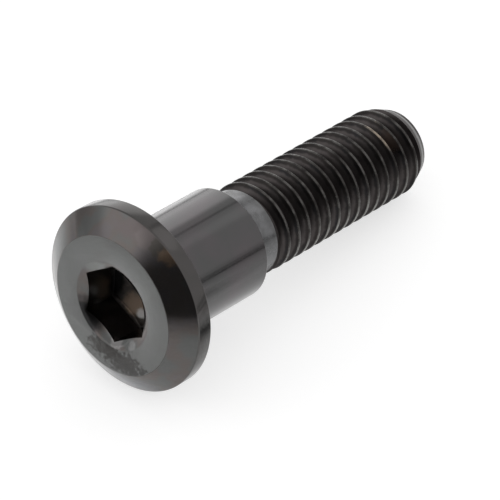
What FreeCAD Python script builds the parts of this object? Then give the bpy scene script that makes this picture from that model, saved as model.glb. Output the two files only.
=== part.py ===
import FreeCAD, Part
import math
import os
import Sketcher

# Brake disc screw: a low round head with a wide bevel and a hexagon socket, a smooth shoulder
# that the disc sits on, a short neck and an M8 x 1.25 thread. It is one solid piece of steel.
# It is drawn on its own axis, with the outer face of the head at height 0 and the tip above it,
# and then laid down on the rim of its head and the end of its thread.

# Millimetres and degrees. Heights are measured along the axis.
SIZES = [
    ("head_diameter", 16.0, "across the rim"),
    ("head_height", 2.8, "outer face to seat"),
    ("face_diameter", 12.0, "flat outer face inside the bevel"),
    ("bevel_height", 1.4, "outer face to the start of the rim"),
    ("shoulder_diameter", 9.6, "centres the disc"),
    ("shoulder_length", 10.4, "seat to the end of the shoulder"),
    ("shoulder_chamfer", 0.2, "on the end of the shoulder"),
    ("neck_relief", 0.5, "crest diameter less the neck's, which is the blank before threading"),
    ("neck_length", 2.65, "end of the shoulder to the full thread diameter"),
    ("neck_flare", 0.25, "cone in the corner between shoulder and neck"),
    ("edge_share", 0.45, "most of the step that the chamfer or the cone may take"),
    ("lead_length", 0.25, "cone from the neck to the thread diameter"),
    ("thread_diameter", 7.9, "over the crests"),
    ("thread_length", 19.15, "full thread diameter to the tip"),
    ("thread_pitch", 1.25, "crest to crest"),
    ("thread_angle", 60.0, "between the flanks"),
    ("crest_flat", 0.21, "width of a crest"),
    ("root_flat", 0.21, "width of the bottom of the groove"),
    ("groove_start", 2.0, "end of the shoulder to the middle of the groove's first turn"),
    ("run_out", 0.35, "turns over which the groove rises out of the neck"),
    ("cutter_margin", 0.1, "how far the groove's section stands above the crests"),
    ("tip_diameter", 6.2, "flat end"),
    ("tip_length", 2.0, "height of the taper at the tip"),
    ("socket_width", 6.0, "across the flats of the hexagon"),
    ("socket_depth", 3.6, "outer face to the end of the flats"),
    ("socket_turn", 54.0, "from the underside to a corner of the hexagon, about the axis"),
    ("sink_diameter", 7.7, "countersink at the outer face"),
    ("sink_angle", 120.0, "full angle of the countersink"),
    ("drill_diameter", 5.8, "hole that the hexagon was pressed into"),
    ("drill_angle", 118.0, "full angle of that hole's point"),
]
# A sketch's own origin point and upright axis.
ORIGIN = (-1, 1)
UPRIGHT = -2
CORNERS = 6
TOLERANCE = 1e-6

doc = FreeCAD.newDocument("brake_disc_screw")
sheet = doc.addObject("Spreadsheet::Sheet", "sizes")
for row, (alias, value, note) in enumerate(SIZES, start=1):
    sheet.set(f"A{row}", alias)
    sheet.set(f"B{row}", str(value))
    sheet.set(f"C{row}", note)
    sheet.setAlias(f"B{row}", alias)
doc.recompute()

head_radius = sheet.head_diameter / 2
face_radius = sheet.face_diameter / 2
shoulder_radius = sheet.shoulder_diameter / 2
thread_radius = sheet.thread_diameter / 2
neck_radius = thread_radius - sheet.neck_relief / 2
tip_radius = sheet.tip_diameter / 2
shoulder_end = sheet.head_height + sheet.shoulder_length
thread_begin = shoulder_end + sheet.neck_length
tip_end = thread_begin + sheet.thread_length


def origin_feature(role):
    """One of the body's own base planes or axes."""
    for feature in screw.Origin.OriginFeatures:
        if feature.Role == role:
            return feature


def new_sketch(name, role):
    """An empty sketch on one of the base planes."""
    sketch = screw.newObject("Sketcher::SketchObject", name)
    sketch.AttachmentSupport = (origin_feature(role), [""])
    sketch.MapMode = "FlatFace"
    return sketch


def closed_outline(sketch, corners, squared=True):
    """Lines from corner to corner, joined at their ends. Level and upright ones are kept so."""
    points = [FreeCAD.Vector(across, along, 0) for across, along in corners]
    lines = []
    for start, end in zip(points, points[1:] + points[:1]):
        line = sketch.addGeometry(Part.LineSegment(start, end), False)
        lines.append(line)
        if squared and abs(start.y - end.y) < TOLERANCE:
            sketch.addConstraint(Sketcher.Constraint("Horizontal", line))
        if squared and abs(start.x - end.x) < TOLERANCE:
            sketch.addConstraint(Sketcher.Constraint("Vertical", line))
    for line, following in zip(lines, lines[1:] + lines[:1]):
        sketch.addConstraint(Sketcher.Constraint("Coincident", line, 2, following, 1))
    return lines


def dimension(sketch, name, kind, start, end, expression):
    """A named distance between two points of a sketch that follows the sheet."""
    offset = sketch.getPoint(*end) - sketch.getPoint(*start)
    length = offset.x if kind == "DistanceX" else offset.y
    index = sketch.addConstraint(Sketcher.Constraint(kind, *start, *end, length))
    sketch.renameConstraint(index, name)
    sketch.setExpression(f"Constraints.{name}", expression)


def circular_edge(feature, radius, height):
    """The name of the feature's edge that is a circle of that radius at that height."""
    for index, edge in enumerate(feature.Shape.Edges, start=1):
        curve = edge.Curve
        if not isinstance(curve, Part.Circle):
            continue
        if abs(curve.Radius - radius) < TOLERANCE and abs(curve.Center.z - height) < TOLERANCE:
            return f"Edge{index}"


def built(feature):
    """Builds the feature and gives the volume of the solid so far."""
    doc.recompute()
    return feature.Shape.Volume


def cut(feature):
    """Builds a feature that has to take material away."""
    before = feature.BaseFeature.Shape.Volume
    if built(feature) >= before:
        raise RuntimeError(f"{feature.Name} cuts nothing")


screw = doc.addObject("PartDesign::Body", "screw")

# The blank: head, shoulder, neck and the plain bar that becomes the thread, turned in one.
profile = new_sketch("blank_profile", "XZ_Plane")
outline = closed_outline(
    profile,
    [
        (0, 0),
        (face_radius, 0),
        (head_radius, sheet.bevel_height),
        (head_radius, sheet.head_height),
        (shoulder_radius, sheet.head_height),
        (shoulder_radius, shoulder_end),
        (neck_radius, shoulder_end),
        (neck_radius, thread_begin - sheet.lead_length),
        (thread_radius, thread_begin),
        (thread_radius, tip_end - sheet.tip_length),
        (tip_radius, tip_end),
        (0, tip_end),
    ],
)
face, bevel, rim, seat, shoulder, step, neck, lead, bar, taper, tip, middle = outline
profile.addConstraint(Sketcher.Constraint("Coincident", face, 1, *ORIGIN))
for name, line, across in (
    ("face_radius", bevel, "sizes.face_diameter"),
    ("head_radius", rim, "sizes.head_diameter"),
    ("shoulder_radius", shoulder, "sizes.shoulder_diameter"),
    ("neck_radius", neck, "(sizes.thread_diameter - sizes.neck_relief)"),
    ("thread_radius", bar, "sizes.thread_diameter"),
    ("tip_radius", tip, "sizes.tip_diameter"),
):
    dimension(profile, name, "DistanceX", ORIGIN, (line, 1), f"{across} / 2")
for name, first, second in (
    ("bevel_height", face, rim),
    ("head_height", face, seat),
    ("shoulder_length", seat, step),
    ("neck_length", step, bar),
    ("lead_length", lead, bar),
    ("thread_length", bar, tip),
    ("tip_length", taper, tip),
):
    dimension(profile, name, "DistanceY", (first, 1), (second, 1), f"sizes.{name}")
blank = screw.newObject("PartDesign::Revolution", "blank")
blank.Profile = profile
blank.ReferenceAxis = (origin_feature("Z_Axis"), [""])
blank.Angle = 360
built(blank)

# The end of the shoulder is broken so that the disc slides on, and the neck flares into it. On a
# low step neither takes more than its share.
EDGE_LIMIT = (
    "(sizes.shoulder_diameter - sizes.thread_diameter + sizes.neck_relief) / 2 * sizes.edge_share"
)
shoulder_edge = screw.newObject("PartDesign::Chamfer", "shoulder_edge")
shoulder_edge.Base = (blank, [circular_edge(blank, shoulder_radius, shoulder_end)])
shoulder_edge.setExpression("Size", f"min(sizes.shoulder_chamfer; {EDGE_LIMIT})")
cut(shoulder_edge)
neck_flare = screw.newObject("PartDesign::Chamfer", "neck_flare")
neck_flare.Base = (shoulder_edge, [circular_edge(shoulder_edge, neck_radius, shoulder_end)])
neck_flare.setExpression("Size", f"min(sizes.neck_flare; {EDGE_LIMIT})")
built(neck_flare)

# The countersink is a shallow cone round the mouth of the socket.
sink_radius = sheet.sink_diameter / 2
sink_point = sink_radius / math.tan(math.radians(sheet.sink_angle / 2))
sink_profile = new_sketch("sink_profile", "XZ_Plane")
mouth, wall, middle = closed_outline(sink_profile, [(0, 0), (sink_radius, 0), (0, sink_point)])
sink_profile.addConstraint(Sketcher.Constraint("Coincident", mouth, 1, *ORIGIN))
dimension(sink_profile, "mouth", "DistanceX", ORIGIN, (wall, 1), "sizes.sink_diameter / 2")
dimension(
    sink_profile,
    "point",
    "DistanceY",
    ORIGIN,
    (middle, 1),
    "sizes.sink_diameter / 2 / tan(sizes.sink_angle / 2)",
)
countersink = screw.newObject("PartDesign::Groove", "countersink")
countersink.Profile = sink_profile
countersink.ReferenceAxis = (origin_feature("Z_Axis"), [""])
countersink.Angle = 360
cut(countersink)

# The hexagon is a straight pocket from the outer face, with its corners on one circle.
corner_radius = sheet.socket_width / 2 / math.cos(math.pi / CORNERS)
corners = []
for corner in range(CORNERS):
    turn = math.radians(sheet.socket_turn) + corner * 2 * math.pi / CORNERS
    corners.append((corner_radius * math.cos(turn), corner_radius * math.sin(turn)))
socket_profile = new_sketch("socket_profile", "XY_Plane")
sides = closed_outline(socket_profile, corners, squared=False)
centre = FreeCAD.Vector(0, 0, 0)
circle = socket_profile.addGeometry(Part.Circle(centre, FreeCAD.Vector(0, 0, 1), corner_radius), True)
spoke = socket_profile.addGeometry(Part.LineSegment(centre, FreeCAD.Vector(*corners[0], 0)), True)
socket_profile.addConstraint(Sketcher.Constraint("Coincident", circle, 3, *ORIGIN))
socket_profile.addConstraint(Sketcher.Constraint("Coincident", spoke, 1, *ORIGIN))
socket_profile.addConstraint(Sketcher.Constraint("Coincident", spoke, 2, sides[0], 1))
for side in sides:
    socket_profile.addConstraint(Sketcher.Constraint("PointOnObject", side, 1, circle))
for side in sides[1:]:
    socket_profile.addConstraint(Sketcher.Constraint("Equal", sides[0], side))
for name, constraint, expression in (
    ("corners", Sketcher.Constraint("Radius", circle, corner_radius), "sizes.socket_width / 2 / cos(30)"),
    ("turn", Sketcher.Constraint("Angle", spoke, math.radians(sheet.socket_turn)), "sizes.socket_turn"),
):
    index = socket_profile.addConstraint(constraint)
    socket_profile.renameConstraint(index, name)
    socket_profile.setExpression(f"Constraints.{name}", expression)
socket = screw.newObject("PartDesign::Pocket", "socket")
socket.Profile = socket_profile
socket.Reversed = True
socket.setExpression("Length", "sizes.socket_depth")
cut(socket)

# The pilot hole's point is left below the hexagon.
drill_radius = sheet.drill_diameter / 2
drill_point = sheet.socket_depth + drill_radius / math.tan(math.radians(sheet.drill_angle / 2))
drill_profile = new_sketch("drill_profile", "XZ_Plane")
floor, wall, middle = closed_outline(
    drill_profile,
    [(0, sheet.socket_depth), (drill_radius, sheet.socket_depth), (0, drill_point)],
)
drill_profile.addConstraint(Sketcher.Constraint("PointOnObject", floor, 1, UPRIGHT))
dimension(drill_profile, "depth", "DistanceY", ORIGIN, (floor, 1), "sizes.socket_depth")
dimension(drill_profile, "edge", "DistanceX", (floor, 1), (wall, 1), "sizes.drill_diameter / 2")
dimension(
    drill_profile,
    "point",
    "DistanceY",
    (floor, 1),
    (middle, 1),
    "sizes.drill_diameter / 2 / tan(sizes.drill_angle / 2)",
)
pilot_point = screw.newObject("PartDesign::Groove", "pilot_point")
pilot_point.Profile = drill_profile
pilot_point.ReferenceAxis = (origin_feature("Z_Axis"), [""])
pilot_point.Angle = 360
cut(pilot_point)

# The thread is one right-hand groove. Its section is a flat-bottomed V, and its depth is what the
# pitch, the flats and the angle leave. It starts in the neck and leaves through the tip.
half_angle = math.radians(sheet.thread_angle / 2)
flanks = sheet.thread_pitch - sheet.crest_flat - sheet.root_flat
root_radius = thread_radius - flanks / 2 / math.tan(half_angle)
cutter_radius = thread_radius + sheet.cutter_margin
cutter_width = sheet.root_flat + 2 * (cutter_radius - root_radius) * math.tan(half_angle)
groove_height = shoulder_end + sheet.groove_start
groove_profile = new_sketch("groove_profile", "XZ_Plane")
root, upper_flank, outside, lower_flank = closed_outline(
    groove_profile,
    [
        (root_radius, groove_height - sheet.root_flat / 2),
        (root_radius, groove_height + sheet.root_flat / 2),
        (cutter_radius, groove_height + cutter_width / 2),
        (cutter_radius, groove_height - cutter_width / 2),
    ],
)
groove_profile.addConstraint(Sketcher.Constraint("Equal", upper_flank, lower_flank))
for name, kind, start, end, expression in (
    (
        "root_radius",
        "DistanceX",
        ORIGIN,
        (root, 1),
        "sizes.thread_diameter / 2"
        " - (sizes.thread_pitch - sizes.crest_flat - sizes.root_flat) / 2 / tan(sizes.thread_angle / 2)",
    ),
    (
        "cutter_radius",
        "DistanceX",
        ORIGIN,
        (outside, 1),
        "sizes.thread_diameter / 2 + sizes.cutter_margin",
    ),
    (
        "height",
        "DistanceY",
        ORIGIN,
        (root, 1),
        "sizes.head_height + sizes.shoulder_length + sizes.groove_start - sizes.root_flat / 2",
    ),
    ("root_flat", "DistanceY", (root, 1), (root, 2), "sizes.root_flat"),
    (
        "cutter_width",
        "DistanceY",
        (outside, 2),
        (outside, 1),
        "sizes.thread_pitch - sizes.crest_flat + 2 * sizes.cutter_margin * tan(sizes.thread_angle / 2)",
    ),
):
    dimension(groove_profile, name, kind, start, end, expression)
doc.recompute()
for name, mode, backwards in (
    ("thread", "pitch-height-angle", False),
    ("run_out", "pitch-turns-angle", True),
):
    helix = screw.newObject("PartDesign::SubtractiveHelix", name)
    helix.Profile = groove_profile
    helix.ReferenceAxis = (origin_feature("Z_Axis"), [""])
    helix.Mode = mode
    helix.LeftHanded = False
    helix.Reversed = backwards
    helix.setExpression("Pitch", "sizes.thread_pitch")
    if backwards:
        helix.setExpression("Turns", "sizes.run_out")
        helix.setExpression(
            "Angle",
            "atan((groove_profile.Constraints.cutter_radius - groove_profile.Constraints.root_radius)"
            " / (sizes.run_out * sizes.thread_pitch * 1 mm))",
        )
    else:
        helix.setExpression(
            "Height",
            "sizes.neck_length - sizes.groove_start + sizes.thread_length + sizes.thread_pitch",
        )
    cut(helix)

# The screw lies on the back edge of its rim and the end of its thread. Its axis dips towards the
# tip, which points along +X, and the middle of its length is over the origin.
screw.addProperty("App::PropertyAngle", "Dip", "Rest", "slope of the axis towards the tip")
screw.Placement = FreeCAD.Placement(FreeCAD.Vector(), FreeCAD.Rotation(FreeCAD.Vector(0, 1, 0), 90))
for target, expression in (
    (
        "Dip",
        "atan((sizes.head_diameter - sizes.thread_diameter) / 2"
        " / (sizes.shoulder_length + sizes.neck_length + sizes.thread_length - sizes.tip_length))",
    ),
    ("Placement.Rotation.Angle", "90 deg + Dip"),
    (
        "Placement.Base.x",
        "((sizes.face_diameter - sizes.tip_diameter) / 2 * sin(Dip)"
        " - (sizes.head_height + sizes.shoulder_length + sizes.neck_length + sizes.thread_length)"
        " * cos(Dip)) / 2",
    ),
    (
        "Placement.Base.z",
        "sizes.head_height * sin(Dip) + sizes.head_diameter / 2 * cos(Dip)",
    ),
):
    screw.setExpression(target, expression)
doc.recompute()

for item in doc.Objects:
    if "Invalid" in item.State or "Error" in item.State:
        raise RuntimeError(f"{item.Name} failed")
if screw.Shape.isNull() or not screw.Shape.isValid() or len(screw.Shape.Solids) != 1:
    raise RuntimeError("the screw is not one sound solid")
os.makedirs("parts", exist_ok=True)
screw.Shape.exportStep(f"parts/{screw.Label}.step")
box = screw.Shape.optimalBoundingBox(False)
print(f"{screw.Label}: volume {screw.Shape.Volume:.2f}, dip {screw.Dip}")
print(f"from {box.XMin:.3f} {box.YMin:.3f} {box.ZMin:.3f} to {box.XMax:.3f} {box.YMax:.3f} {box.ZMax:.3f}")
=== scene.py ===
import math

import bpy
from mathutils import Euler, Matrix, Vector


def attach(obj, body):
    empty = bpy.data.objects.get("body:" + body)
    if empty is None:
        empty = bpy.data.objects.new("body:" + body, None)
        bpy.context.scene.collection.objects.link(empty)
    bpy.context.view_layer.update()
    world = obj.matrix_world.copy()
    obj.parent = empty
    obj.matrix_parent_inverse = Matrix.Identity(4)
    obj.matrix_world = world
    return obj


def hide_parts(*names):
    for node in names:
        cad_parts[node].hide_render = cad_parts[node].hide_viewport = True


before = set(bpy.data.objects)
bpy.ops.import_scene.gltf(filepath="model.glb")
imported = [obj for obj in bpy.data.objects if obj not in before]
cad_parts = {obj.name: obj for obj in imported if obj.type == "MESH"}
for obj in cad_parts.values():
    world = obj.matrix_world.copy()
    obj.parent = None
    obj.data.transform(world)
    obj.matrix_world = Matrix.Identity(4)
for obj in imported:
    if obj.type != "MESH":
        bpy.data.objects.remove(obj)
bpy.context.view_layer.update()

# The blank of the screw: one bar of steel with a low round head forged on, turned all over. It has
# a flat outer face, a wide bevel, a plain rim, a smooth shoulder, a neck and the bar for the thread.
# It is modelled upright in millimetres, with the middle of the outer face at the origin.
FACE_RADIUS = 6.0
HEAD_RADIUS = 8.0
BEVEL_HEIGHT = 1.4
HEAD_HEIGHT = 2.8
SHOULDER_RADIUS = 4.8
SHOULDER_END = HEAD_HEIGHT + 10.4
SHOULDER_CHAMFER = 0.2
NECK_RADIUS = 3.7
NECK_FLARE = 0.25
THREAD_BEGIN = SHOULDER_END + 2.65
LEAD = 0.25
THREAD_RADIUS = 3.95
TAPER_BEGIN = THREAD_BEGIN + 17.15
TIP_RADIUS = 3.1
TIP_END = TAPER_BEGIN + 2.0
SEGMENTS = 224
ROUNDING_STEPS = 4
NEAR = 0.001

# Each ring has its radius, its height and how wide its edge is rounded.
rings = [
    (FACE_RADIUS, 0.0, 0.06),
    (HEAD_RADIUS, BEVEL_HEIGHT, 0.1),
    (HEAD_RADIUS, HEAD_HEIGHT, 0.12),
    (SHOULDER_RADIUS, HEAD_HEIGHT, 0.08),
    (SHOULDER_RADIUS, SHOULDER_END - SHOULDER_CHAMFER, 0.05),
    (SHOULDER_RADIUS - SHOULDER_CHAMFER, SHOULDER_END, 0.05),
    (NECK_RADIUS + NECK_FLARE, SHOULDER_END, 0.08),
    (NECK_RADIUS, SHOULDER_END + NECK_FLARE, 0.08),
    (NECK_RADIUS, THREAD_BEGIN - LEAD, 0.08),
    (THREAD_RADIUS, THREAD_BEGIN, 0.05),
    (THREAD_RADIUS, TAPER_BEGIN, 0.05),
    (TIP_RADIUS, TIP_END, 0.12),
]


def select_ring(piece, radius, height):
    """Selects the edges that make the circle of that radius at that height, and nothing else."""
    bpy.ops.mesh.select_mode(type="EDGE")
    bpy.ops.mesh.select_all(action="DESELECT")
    bpy.ops.object.mode_set(mode="OBJECT")
    corners = piece.data.vertices
    for edge in piece.data.edges:
        ends = [corners[index].co for index in edge.vertices]
        edge.select = all(
            abs(end.xy.length - radius) < NEAR and abs(end.z - height) < NEAR for end in ends
        )
    bpy.ops.object.mode_set(mode="EDIT")


bpy.ops.object.select_all(action="DESELECT")
bpy.ops.mesh.primitive_circle_add(vertices=SEGMENTS, radius=FACE_RADIUS, fill_type="NGON")
screw = bpy.context.object
screw.name = "brake_disc_screw"
bpy.ops.object.mode_set(mode="EDIT")
bpy.ops.mesh.select_all(action="SELECT")
for (radius, height, _), (next_radius, next_height, _) in zip(rings, rings[1:]):
    rise = {"value": (0, 0, next_height - height)}
    bpy.ops.mesh.extrude_region_move(TRANSFORM_OT_translate=rise)
    growth = next_radius / radius
    bpy.ops.transform.resize(value=(growth, growth, 1), center_override=(0, 0, next_height))
for radius, height, rounding in rings:
    select_ring(screw, radius, height)
    bpy.ops.mesh.bevel(offset=rounding, offset_type="OFFSET", segments=ROUNDING_STEPS, affect="EDGES")
bpy.ops.mesh.select_all(action="SELECT")
bpy.ops.mesh.remove_doubles(threshold=0.0005)
bpy.ops.mesh.normals_make_consistent(inside=False)
bpy.ops.object.mode_set(mode="OBJECT")

# The socket: a countersunk hexagon for a 6 mm key, pressed into a drilled hole whose point is left
# below the flats. Its three tools are shaped one by one and cut out of the head.
SINK_RADIUS = 3.85
SINK_HALF_ANGLE = math.radians(60)
FLAT_TO_FLAT = 6.0
SOCKET_DEPTH = 3.6
SOCKET_TURN = math.radians(54)
DRILL_RADIUS = 2.9
DRILL_HALF_ANGLE = math.radians(59)
OUTSIDE = 0.5
FLAT_TO_CORNER = math.radians(30)


def add_drill(mouth, point, radius):
    """Shapes a pointed tool from its mouth, which has that radius, down to its point."""
    bpy.ops.mesh.primitive_cone_add(
        vertices=SEGMENTS,
        radius1=radius,
        radius2=0,
        depth=point - mouth,
        location=(0, 0, (point + mouth) / 2),
    )
    return bpy.context.object


def cut_away(piece, tool):
    """Cuts the shape of the tool out of the piece, and removes the tool."""
    cut = piece.modifiers.new("cut", "BOOLEAN")
    cut.operation = "DIFFERENCE"
    cut.solver = "EXACT"
    cut.object = tool
    bpy.ops.object.select_all(action="DESELECT")
    piece.select_set(True)
    bpy.context.view_layer.objects.active = piece
    bpy.ops.object.modifier_apply(modifier=cut.name)
    bpy.data.objects.remove(tool, do_unlink=True)


sink_depth = SINK_RADIUS / math.tan(SINK_HALF_ANGLE)
sink_mouth = SINK_RADIUS * (sink_depth + OUTSIDE) / sink_depth
sink_tool = add_drill(-OUTSIDE, sink_depth, sink_mouth)
drill_depth = DRILL_RADIUS / math.tan(DRILL_HALF_ANGLE)
drill_mouth = DRILL_RADIUS * (drill_depth + OUTSIDE) / drill_depth
drill_tool = add_drill(SOCKET_DEPTH - OUTSIDE, SOCKET_DEPTH + drill_depth, drill_mouth)
bpy.ops.mesh.primitive_cylinder_add(
    vertices=6,
    radius=FLAT_TO_FLAT / math.sqrt(3),
    depth=SOCKET_DEPTH + OUTSIDE,
    location=(0, 0, (SOCKET_DEPTH - OUTSIDE) / 2),
    rotation=(0, 0, SOCKET_TURN - FLAT_TO_CORNER),
)
hexagon_tool = bpy.context.object
for tool in (sink_tool, hexagon_tool, drill_tool):
    cut_away(screw, tool)

# The thread: one right-hand groove rolled into the bar, with a flat bottom and rounded edges. It
# starts in the neck, where it rises out over a third of a turn, and leaves through the tip.
PITCH = 1.25
FLANK_HALF_ANGLE = math.radians(30)
ROOT_HALF = 0.105
CREST_HALF = 0.52
ROOT_RADIUS = THREAD_RADIUS - (CREST_HALF - ROOT_HALF) / math.tan(FLANK_HALF_ANGLE)
LIP_HALF = 0.612
LIP_RISE = 0.025
TOOL_RISE = 0.1
GROOVE_START = SHOULDER_END + 2.0
RUN_OUT = 0.35
TURNS = 17
STEPS = 96
ROOT_ROUNDING = 0.06
CREST_ROUNDING = 0.05
SHARP_EDGE = math.radians(35)

start_turn = -RUN_OUT * 2 * math.pi
start_height = GROOVE_START - RUN_OUT * PITCH
section = [
    Vector((radius * math.cos(start_turn), radius * math.sin(start_turn), start_height + height))
    for radius, height in (
        (ROOT_RADIUS, -ROOT_HALF),
        (ROOT_RADIUS, ROOT_HALF),
        (THREAD_RADIUS, CREST_HALF),
        (THREAD_RADIUS + LIP_RISE, LIP_HALF),
        (THREAD_RADIUS + TOOL_RISE, LIP_HALF),
        (THREAD_RADIUS + TOOL_RISE, -LIP_HALF),
        (THREAD_RADIUS + LIP_RISE, -LIP_HALF),
        (THREAD_RADIUS, -CREST_HALF),
    )
]
root_corners = (section[0], section[1])
crest_corners = (section[2], section[7])
bpy.ops.object.select_all(action="DESELECT")
bpy.ops.mesh.primitive_circle_add(vertices=len(section), radius=1, fill_type="NGON")
groove_tool = bpy.context.object
for corner, place in zip(groove_tool.data.vertices, section):
    corner.co = place
for places, rounding in ((root_corners, ROOT_ROUNDING), (crest_corners, CREST_ROUNDING)):
    bpy.ops.object.mode_set(mode="EDIT")
    bpy.ops.mesh.select_mode(type="VERT")
    bpy.ops.mesh.select_all(action="DESELECT")
    bpy.ops.object.mode_set(mode="OBJECT")
    for corner in groove_tool.data.vertices:
        corner.select = any((corner.co - place).length < NEAR for place in places)
    bpy.ops.object.mode_set(mode="EDIT")
    bpy.ops.mesh.bevel(offset=rounding, segments=3, affect="VERTICES")
    bpy.ops.object.mode_set(mode="OBJECT")
bpy.ops.object.mode_set(mode="EDIT")
bpy.ops.mesh.select_all(action="SELECT")
bpy.ops.mesh.delete(type="ONLY_FACE")
bpy.ops.object.mode_set(mode="OBJECT")
outline_corners = len(groove_tool.data.vertices)
turn_on = groove_tool.modifiers.new("turns", "SCREW")
turn_on.axis = "Z"
turn_on.angle = 2 * math.pi
turn_on.screw_offset = PITCH
turn_on.iterations = TURNS
turn_on.steps = STEPS
turn_on.render_steps = STEPS
bpy.ops.object.modifier_apply(modifier=turn_on.name)
for index, corner in enumerate(groove_tool.data.vertices):
    turns_left = RUN_OUT - index // outline_corners / STEPS
    if turns_left > 0:
        rise = (THREAD_RADIUS + TOOL_RISE - ROOT_RADIUS) * turns_left / RUN_OUT
        corner.co.xy *= 1 + rise / corner.co.xy.length
bpy.ops.object.mode_set(mode="EDIT")
bpy.ops.mesh.select_all(action="SELECT")
bpy.ops.mesh.fill_holes(sides=0)
bpy.ops.mesh.normals_make_consistent(inside=False)
bpy.ops.object.mode_set(mode="OBJECT")
cut_away(screw, groove_tool)
bpy.ops.object.mode_set(mode="EDIT")
bpy.ops.mesh.select_all(action="SELECT")
bpy.ops.mesh.remove_doubles(threshold=NEAR)
bpy.ops.mesh.normals_make_consistent(inside=False)
bpy.ops.object.mode_set(mode="OBJECT")
bpy.ops.object.shade_smooth_by_angle(angle=SHARP_EDGE)

# The finished screw lies on the back edge of its rim and the end of its thread, as it came to rest,
# with its tip towards +X. Here it takes its real size and its place in the frame.
dip = math.atan((HEAD_RADIUS - THREAD_RADIUS) / (TAPER_BEGIN - HEAD_HEIGHT))
MILLIMETRE = 0.001
lie = (0, math.pi / 2 + dip, 0)
head_centre = (
    ((FACE_RADIUS - TIP_RADIUS) * math.sin(dip) - TIP_END * math.cos(dip)) / 2 * MILLIMETRE,
    0,
    (HEAD_HEIGHT * math.sin(dip) + HEAD_RADIUS * math.cos(dip)) * MILLIMETRE,
)
screw.scale = (MILLIMETRE, MILLIMETRE, MILLIMETRE)
screw.rotation_euler = lie
screw.location = head_centre
bpy.ops.object.transform_apply(location=True, rotation=True, scale=True)
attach(screw, "root")
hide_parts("screw")

# The finish: the steel is turned and polished, and then plated almost black. The plating is nearly a
# mirror on the head and the shoulder, greyer on the neck, and dull and oily in the thread and the
# socket. It has faint green, mauve and brown tints, and smudges from handling. Some light and shade
# is painted into its colour as well: painted highlights on the crests and in the countersink, and
# painted shade in the thread and in the far corner of the socket.
PATCH_DETAIL = 3
PATCH_FROM = 0.38
PATCH_TO = 0.62
WEAR_SIZE = 0.9
WEAR_DETAIL = 6
WEAR_FROM = 0.3
WEAR_TO = 0.7
screw.data.materials.clear()


def plating(name, tints, patch_size, gloss):
    """A dark plating with three tints in soft patches, between two roughnesses. Sizes are in mm."""
    material = bpy.data.materials.new(name)
    material.use_nodes = True
    nodes = material.node_tree.nodes
    links = material.node_tree.links
    shader = nodes["Principled BSDF"]
    shader.inputs["Metallic"].default_value = 1
    place = nodes.new("ShaderNodeTexCoord")
    along = nodes.new("ShaderNodeMapping")
    along.name = "along_the_axis"
    along.vector_type = "TEXTURE"
    along.inputs["Location"].default_value = head_centre
    along.inputs["Rotation"].default_value = lie
    along.inputs["Scale"].default_value = (MILLIMETRE, MILLIMETRE, MILLIMETRE)
    links.new(place.outputs["Object"], along.inputs["Vector"])
    patches = nodes.new("ShaderNodeTexNoise")
    patches.inputs["Scale"].default_value = 1 / patch_size
    patches.inputs["Detail"].default_value = PATCH_DETAIL
    links.new(along.outputs["Vector"], patches.inputs["Vector"])
    colours = nodes.new("ShaderNodeValToRGB")
    ramp = colours.color_ramp
    ramp.elements[0].position = PATCH_FROM
    ramp.elements[0].color = (*tints[0], 1)
    ramp.elements[1].position = PATCH_TO
    ramp.elements[1].color = (*tints[2], 1)
    ramp.elements.new(0.5).color = (*tints[1], 1)
    links.new(patches.outputs["Fac"], colours.inputs["Fac"])
    links.new(colours.outputs["Color"], shader.inputs["Base Color"])
    wear = nodes.new("ShaderNodeTexNoise")
    wear.inputs["Scale"].default_value = 1 / WEAR_SIZE
    wear.inputs["Detail"].default_value = WEAR_DETAIL
    links.new(along.outputs["Vector"], wear.inputs["Vector"])
    roughness = nodes.new("ShaderNodeMapRange")
    roughness.inputs["From Min"].default_value = WEAR_FROM
    roughness.inputs["From Max"].default_value = WEAR_TO
    roughness.inputs["To Min"].default_value = gloss[0]
    roughness.inputs["To Max"].default_value = gloss[1]
    links.new(wear.outputs["Fac"], roughness.inputs["Value"])
    links.new(roughness.outputs["Result"], shader.inputs["Roughness"])
    screw.data.materials.append(material)
    return material


face_plating = plating(
    "face_plating",
    tints=((0.158, 0.16, 0.159), (0.153, 0.157, 0.154), (0.148, 0.149, 0.147)),
    patch_size=2.5,
    gloss=(0.16, 0.24),
)
bevel_plating = plating(
    "bevel_plating",
    tints=((0.13, 0.12, 0.122), (0.13, 0.116, 0.11), (0.12, 0.122, 0.12)),
    patch_size=2.2,
    gloss=(0.12, 0.2),
)
shoulder_plating = plating(
    "shoulder_plating",
    tints=((0.122, 0.112, 0.116), (0.115, 0.11, 0.112), (0.11, 0.109, 0.109)),
    patch_size=3.5,
    gloss=(0.1, 0.15),
)
rim_plating = plating(
    "rim_plating",
    tints=((0.1, 0.094, 0.093), (0.095, 0.09, 0.088), (0.09, 0.087, 0.085)),
    patch_size=3,
    gloss=(0.12, 0.18),
)
neck_plating = plating(
    "neck_plating",
    tints=((0.19, 0.19, 0.195), (0.165, 0.165, 0.168), (0.14, 0.14, 0.142)),
    patch_size=0.8,
    gloss=(0.18, 0.3),
)
thread_plating = plating(
    "thread_plating",
    tints=((0.035, 0.031, 0.03), (0.03, 0.027, 0.026), (0.026, 0.025, 0.026)),
    patch_size=1.5,
    gloss=(0.27, 0.4),
)
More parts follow.
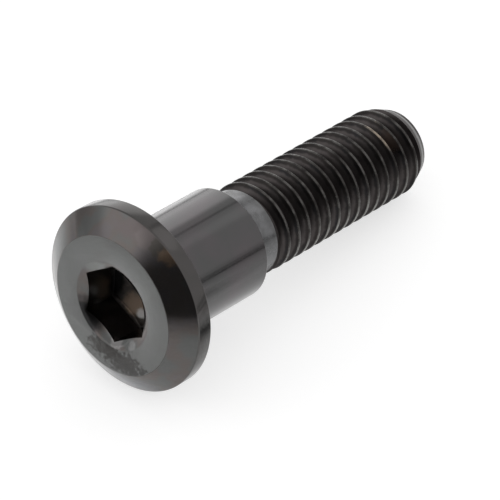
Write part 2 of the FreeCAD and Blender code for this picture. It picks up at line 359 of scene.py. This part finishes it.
# The crests take a lighter plating than the rest of the thread: a painted highlight along each crest.
crest_highlight_plating = plating(
    "crest_highlight_plating",
    tints=((0.105, 0.1, 0.096), (0.065, 0.061, 0.058), (0.035, 0.032, 0.031)),
    patch_size=0.9,
    gloss=(0.22, 0.35),
)
socket_plating = plating(
    "socket_plating",
    tints=((0.16, 0.145, 0.14), (0.12, 0.105, 0.095), (0.08, 0.075, 0.072)),
    patch_size=0.9,
    gloss=(0.4, 0.55),
)
oily = socket_plating.node_tree.nodes["Principled BSDF"]
oily.inputs["Metallic"].default_value = 0.7
oily.inputs["Specular Tint"].default_value = (0.3, 0.27, 0.25, 1)
oily.inputs["Specular IOR Level"].default_value = 0
RUFFLE_DETAIL = 4


def stain(material, middle, size, colour, strength, ragged=0.5, grain=0.5, edge=0.6):
    """Lays a stain round a place on the screw, with its size along x, y and z. All sizes are in mm,
    in the screw's own upright frame. Ragged says how far its outline is torn, grain how finely, and
    edge how softly it ends."""
    nodes = material.node_tree.nodes
    links = material.node_tree.links
    shader = nodes["Principled BSDF"]
    under = shader.inputs["Base Color"].links[0].from_socket
    along = nodes["along_the_axis"]
    ruffle = nodes.new("ShaderNodeTexNoise")
    ruffle.inputs["Scale"].default_value = 1 / grain
    ruffle.inputs["Detail"].default_value = RUFFLE_DETAIL
    links.new(along.outputs["Vector"], ruffle.inputs["Vector"])
    from_middle = nodes.new("ShaderNodeMapping")
    from_middle.vector_type = "TEXTURE"
    from_middle.inputs["Location"].default_value = middle
    from_middle.inputs["Scale"].default_value = size
    links.new(along.outputs["Vector"], from_middle.inputs["Vector"])
    away = nodes.new("ShaderNodeVectorMath")
    away.operation = "LENGTH"
    links.new(from_middle.outputs["Vector"], away.inputs[0])
    torn = nodes.new("ShaderNodeMath")
    torn.operation = "MULTIPLY_ADD"
    torn.inputs[1].default_value = ragged * 2
    links.new(ruffle.outputs["Fac"], torn.inputs[0])
    links.new(away.outputs["Value"], torn.inputs[2])
    cover = nodes.new("ShaderNodeMapRange")
    cover.interpolation_type = "SMOOTHSTEP"
    cover.inputs["From Min"].default_value = 1 + ragged
    cover.inputs["From Max"].default_value = 1 + ragged - edge
    cover.inputs["To Max"].default_value = strength
    links.new(torn.outputs["Value"], cover.inputs["Value"])
    over = nodes.new("ShaderNodeMix")
    over.data_type = "RGBA"
    links.new(cover.outputs["Result"], over.inputs["Factor"])
    links.new(under, over.inputs["A"])
    over.inputs["B"].default_value = (*colour, 1)
    links.new(over.outputs["Result"], shader.inputs["Base Color"])


# The bevel has a mauve tint at the top that ends in an oil smear, with a brown spot beyond it.
stain(bevel_plating, (-7.3, -0.6, 1.1), (1.2, 2.4, 1.2), (0.132, 0.114, 0.114), 0.8, grain=1.0)
stain(bevel_plating, (-7.0, -1.9, 1.1), (1.0, 1.2, 1.0), (0.155, 0.136, 0.135), 0.7, grain=0.8, edge=0.3)
stain(bevel_plating, (-6.9, -3.3, 1.1), (0.8, 0.8, 1.1), (0.115, 0.106, 0.098), 0.95, ragged=0.6, edge=0.25)
stain(bevel_plating, (-6.45, -4.35, 1.2), (0.8, 1.3, 0.9), (0.3, 0.215, 0.155), 0.9, ragged=0.6)

# The countersink is painted dark at one side, and has painted reflections: bright patches painted into its
# colour.
stain(bevel_plating, (2.3, 2.7, 0.1), (2.0, 1.9, 0.8), (0.035, 0.035, 0.036), 0.95, ragged=0.4, grain=0.6)
stain(bevel_plating, (3.4, -0.6, 0.3), (0.8, 0.8, 0.8), (0.25, 0.24, 0.24), 0.8, grain=0.3, edge=0.4)
stain(bevel_plating, (2.8, -2.4, 0.3), (0.6, 0.6, 0.6), (0.22, 0.22, 0.22), 0.8, grain=0.3, edge=0.4)
stain(bevel_plating, (-2.6, 2.4, 0.2), (1.3, 1.8, 0.6), (0.2, 0.21, 0.205), 0.7, ragged=0.4, grain=0.8)

# The lower bevel is a cooler grey. The rim is rubbed lighter in two places.
cloud = {"ragged": 0.3, "grain": 1.5, "edge": 0.8}
rub = {"ragged": 0.3, "grain": 1.2, "edge": 0.8}
stain(bevel_plating, (7.0, -1.5, 0.8), (1.8, 5.5, 1.8), (0.146, 0.151, 0.166), 0.85, **cloud)
stain(bevel_plating, (-1.6, 6.8, 0.7), (2.8, 1.8, 1.8), (0.155, 0.16, 0.16), 0.85, **cloud)
stain(rim_plating, (-1.2, -7.9, 2.4), (2.2, 2, 2), (0.15, 0.147, 0.145), 0.8, **rub)
stain(rim_plating, (-6.4, 4.6, 2.0), (3.4, 3.4, 2.5), (0.24, 0.237, 0.237), 0.9, **rub)

# The face has a smudge from handling on its lower part.
wiped = {"ragged": 1.3, "grain": 0.4, "edge": 0.45}
dabbed = {"ragged": 0.7, "grain": 0.4, "edge": 0.4}
stain(face_plating, (4.6, -1.6, 0), (1.3, 3.3, 1), (0.058, 0.055, 0.054), 0.8, **wiped)
stain(face_plating, (4.3, 0.5, 0), (1.0, 2.0, 1), (0.055, 0.052, 0.05), 0.75, **dabbed)

# Painted shade in the thread, by distance from the axis: the edges under the crests keep the thread's
# dark colour as a painted shadow of the crests, the flanks are painted lighter, and near the root it is
# painted darker again as painted shade.
ON_THE_AXIS = (0, 0, 25)
FULL_LENGTH = 900
UNDER_CRESTS = (3.78, 3.78, FULL_LENGTH)
NEAR_ROOT = (3.35, 3.35, FULL_LENGTH)
stain(thread_plating, ON_THE_AXIS, UNDER_CRESTS, (0.08, 0.071, 0.07), 0.85, ragged=0.04, edge=0.05)
stain(thread_plating, ON_THE_AXIS, NEAR_ROOT, (0.055, 0.049, 0.048), 0.85, ragged=0.04, edge=0.04)

# The thread has a brown tint near the tip, by a lighter brown crest, and a bright ring round the tip.
# Its crests are painted brighter on the lower side, a painted highlight.
TIP_RING = (0, 0, 34.42)
RING_SIZE = (9, 9, 0.3)
RING_COLOUR = (0.3, 0.3, 0.295)
stain(thread_plating, (-3.1, -2.0, 31.2), (1.5, 1.2, 1.3), (0.085, 0.062, 0.052), 0.8, grain=0.4)
stain(thread_plating, TIP_RING, RING_SIZE, RING_COLOUR, 0.9, ragged=0.1, grain=0.4)
stain(crest_highlight_plating, TIP_RING, RING_SIZE, RING_COLOUR, 0.9, ragged=0.1, grain=0.4)
stain(crest_highlight_plating, (1.6, -4.2, 25), (2.6, 2.2, 14), (0.3, 0.295, 0.28), 0.9, ragged=0.4, edge=1)
stain(crest_highlight_plating, (-3.6, -1.2, 30.7), (1.8, 2.7, 0.8), (0.36, 0.3, 0.24), 0.9, grain=0.4)

# The floor of the socket is brown, with one bright fleck, and the far corner is painted black as painted
# shade.
stain(socket_plating, (2.2, 0.9, 3.9), (1.3, 1.3, 1), (0.45, 0.34, 0.26), 0.9, ragged=0.4, grain=0.7)
stain(socket_plating, (2.6, 0.1, 3.7), (0.5, 0.7, 0.5), (0.9, 0.88, 0.86), 0.9, ragged=0.3, grain=0.4)
stain(socket_plating, (0.8, 2.8, 3.4), (2.2, 0.9, 1.8), (0.015, 0.015, 0.015), 1, ragged=0.2)

# Each part of the screw takes its own finish, by its radius and its height. The crests take the lighter
# plating that paints their highlight.
THREAD_SHOWS = 15.4
CREST_SHOWS = 3.9
NECK_SHOWS = SHOULDER_END - 0.02
SHOULDER_SHOWS = HEAD_HEIGHT + 0.01
OUTSIDE_SOCKET = SHOULDER_RADIUS - 0.5
SINK_ENDS = 0.6
FACE_ENDS = 0.02
MARGIN = 0.05
back_to_axis = Euler(lie).to_matrix().transposed()
for face in screw.data.polygons:
    middle = back_to_axis @ (face.center - Vector(head_centre)) / MILLIMETRE
    radius = middle.xy.length
    if middle.z > THREAD_SHOWS:
        finish = crest_highlight_plating if radius > CREST_SHOWS else thread_plating
    elif middle.z > NECK_SHOWS:
        finish = neck_plating
    elif middle.z > SHOULDER_SHOWS and radius > OUTSIDE_SOCKET:
        finish = shoulder_plating
    elif radius > HEAD_RADIUS - MARGIN:
        finish = rim_plating
    elif radius > FACE_RADIUS + MARGIN:
        finish = bevel_plating
    elif middle.z < FACE_ENDS:
        finish = face_plating
    elif radius < SINK_RADIUS + MARGIN and middle.z < SINK_ENDS:
        finish = bevel_plating
    else:
        finish = socket_plating
    face.material_index = screw.data.materials.find(finish.name)

# The floor: one plain white sheet. To the camera and in the steel it is as white as paper under a
# full light, with the screw's own soft shadow on it.
PAPER_GLOW = 0.62
bpy.ops.object.select_all(action="DESELECT")
bpy.ops.mesh.primitive_plane_add(size=4)
floor = bpy.context.object
floor.name = "floor"
paper = bpy.data.materials.new("white_paper")
paper.use_nodes = True
nodes = paper.node_tree.nodes
links = paper.node_tree.links
shader = nodes["Principled BSDF"]
shader.inputs["Base Color"].default_value = (0.6, 0.6, 0.6, 1)
shader.inputs["Roughness"].default_value = 0.9
shader.inputs["Specular IOR Level"].default_value = 0.2
shader.inputs["Emission Color"].default_value = (1, 1, 1, 1)
ray = nodes.new("ShaderNodeLightPath")
straight = nodes.new("ShaderNodeMath")
straight.operation = "MAXIMUM"
links.new(ray.outputs["Is Camera Ray"], straight.inputs[0])
links.new(ray.outputs["Is Glossy Ray"], straight.inputs[1])
seen = nodes.new("ShaderNodeMath")
seen.operation = "MAXIMUM"
links.new(straight.outputs["Value"], seen.inputs[0])
links.new(ray.outputs["Is Transmission Ray"], seen.inputs[1])
white = nodes.new("ShaderNodeMath")
white.operation = "MULTIPLY"
white.inputs[1].default_value = PAPER_GLOW
links.new(seen.outputs["Value"], white.inputs[0])
links.new(white.outputs["Value"], shader.inputs["Emission Strength"])
floor.data.materials.append(paper)

# The studio: a plain white room with soft panels and grey cards round the screw. Each is placed by
# the direction in which the screw sees it, and has soft edges. The camera doesn't see them.
ROOM_LIGHT = 0.72
room = bpy.data.worlds.new("white_room")
bpy.context.scene.world = room
room.use_nodes = True
room.node_tree.nodes["Background"].inputs["Color"].default_value = (1, 1, 1, 1)
room.node_tree.nodes["Background"].inputs["Strength"].default_value = ROOM_LIGHT
ALMOST_ON_FLOOR = 0.0002
SCREW_MIDDLE = Vector((0, 0, 0.008))


def soft_edge(panel, brightness, feather):
    """Gives the panel an even glow that fades out towards the rim of its ellipse."""
    cloth = bpy.data.materials.new(panel.name)
    cloth.use_nodes = True
    nodes = cloth.node_tree.nodes
    links = cloth.node_tree.links
    nodes.clear()
    place = nodes.new("ShaderNodeTexCoord")
    twice = nodes.new("ShaderNodeMapping")
    twice.inputs["Scale"].default_value = (2, 2, 2)
    links.new(place.outputs["Object"], twice.inputs["Vector"])
    inward = nodes.new("ShaderNodeTexGradient")
    inward.gradient_type = "SPHERICAL"
    links.new(twice.outputs["Vector"], inward.inputs["Vector"])
    fade = nodes.new("ShaderNodeMapRange")
    fade.interpolation_type = "SMOOTHSTEP"
    fade.inputs["From Max"].default_value = feather
    links.new(inward.outputs["Fac"], fade.inputs["Value"])
    clear = nodes.new("ShaderNodeBsdfTransparent")
    glow = nodes.new("ShaderNodeEmission")
    glow.inputs["Strength"].default_value = brightness
    blend = nodes.new("ShaderNodeMixShader")
    links.new(fade.outputs["Result"], blend.inputs["Fac"])
    links.new(clear.outputs["BSDF"], blend.inputs[1])
    links.new(glow.outputs["Emission"], blend.inputs[2])
    outlet = nodes.new("ShaderNodeOutputMaterial")
    links.new(blend.outputs["Shader"], outlet.inputs["Surface"])
    panel.data.materials.append(cloth)
    panel.visible_camera = False
    panel.visible_shadow = False
    panel.visible_diffuse = brightness > 1


def hang_panel(name, direction, spread, away, brightness, feather):
    """Hangs a flat panel that faces the screw. The direction is azimuth and elevation in degrees,
    and the spread is the width and height in degrees, as the screw sees them."""
    bpy.ops.object.select_all(action="DESELECT")
    bpy.ops.mesh.primitive_plane_add(size=1)
    panel = bpy.context.object
    panel.name = name
    width, height = (2 * away * math.tan(math.radians(angle) / 2) for angle in spread)
    panel.scale = (width, height, 1)
    around, up = (math.radians(angle) for angle in direction)
    out = Vector((math.cos(up) * math.cos(around), math.cos(up) * math.sin(around), math.sin(up)))
    panel.location = out * away + SCREW_MIDDLE
    panel.rotation_euler = (-out).to_track_quat("Z", "Y").to_euler()
    soft_edge(panel, brightness, feather)


# The softboxes stand beyond the tip, on the left and high on the right.
hang_panel("tip_softbox", (45, 12), (50, 50), away=0.4, brightness=1.4, feather=0.4)
hang_panel("left_softbox", (140, 28), (70, 34), away=0.4, brightness=1.2, feather=0.5)
hang_panel("top_softbox", (-5, 47), (34, 30), away=0.4, brightness=0.95, feather=0.3)

# These cards are darker than the room. The steel mirrors them as its dark bands.
hang_panel("camera_card", (-152, 4), (104, 104), away=0.12, brightness=0.07, feather=0.6)
hang_panel("seam_card", (17, 41), (5, 60), away=0.35, brightness=0.4, feather=0.6)
hang_panel("front_card", (-50, -4), (130, 18), away=0.09, brightness=0.3, feather=1)
hang_panel("front_line", (-50, -6.2), (140, 3.6), away=0.05, brightness=0.09, feather=0.6)
hang_panel("left_card", (104, 1), (60, 38), away=0.09, brightness=0.45, feather=0.8)


def lay_card(name, middle, radius, brightness, feather):
    """Lays a round card on the floor, just above the paper."""
    bpy.ops.object.select_all(action="DESELECT")
    bpy.ops.mesh.primitive_plane_add(size=1)
    card = bpy.context.object
    card.name = name
    card.scale = (2 * radius, 2 * radius, 1)
    card.location = (*middle, ALMOST_ON_FLOOR)
    soft_edge(card, brightness, feather)
    return card


# Two dark cards lie on the camera's side of the screw, and a bright patch lies beyond it.
lay_card("camera_floor_card", (-0.086, -0.04), radius=0.07, brightness=0.07, feather=0.6)
lay_card("head_card", (-0.003, -0.021), radius=0.012, brightness=0.1, feather=0.8)
lay_card("far_glow", (0.017, 0.028), radius=0.018, brightness=1.45, feather=0.9)

# Further out the steel sees the table grow slowly darker, up to a sharp edge.
table = lay_card("table_edge", (-0.012, 0.012), radius=0.06, brightness=0.2, feather=1)
fade = table.data.materials[0].node_tree.nodes["Map Range"]
fade.interpolation_type = "LINEAR"
EDGE_WIDTH = 0.9
EDGE_SHADE = 0.55
fade.inputs["From Max"].default_value = EDGE_WIDTH
fade.inputs["To Min"].default_value = EDGE_SHADE
fade.inputs["To Max"].default_value = 0

# The camera looks down at the head from the photograph's angle.
camera_data = bpy.data.cameras.new("camera")
camera_data.lens = 259.94
camera_data.sensor_width = 36
camera_data.clip_start = 0.01
camera_data.clip_end = 20
camera = bpy.data.objects.new("camera", camera_data)
bpy.context.scene.collection.objects.link(camera)
camera.location = (-0.166288, -0.149368, 0.198112)
sight = Vector((0.559050, 0.505156, -0.657481))
camera.rotation_euler = sight.to_track_quat("-Z", "Y").to_euler()
bpy.context.scene.camera = camera
bpy.context.scene.view_settings.view_transform = "Standard"

bpy.context.view_layer.update()
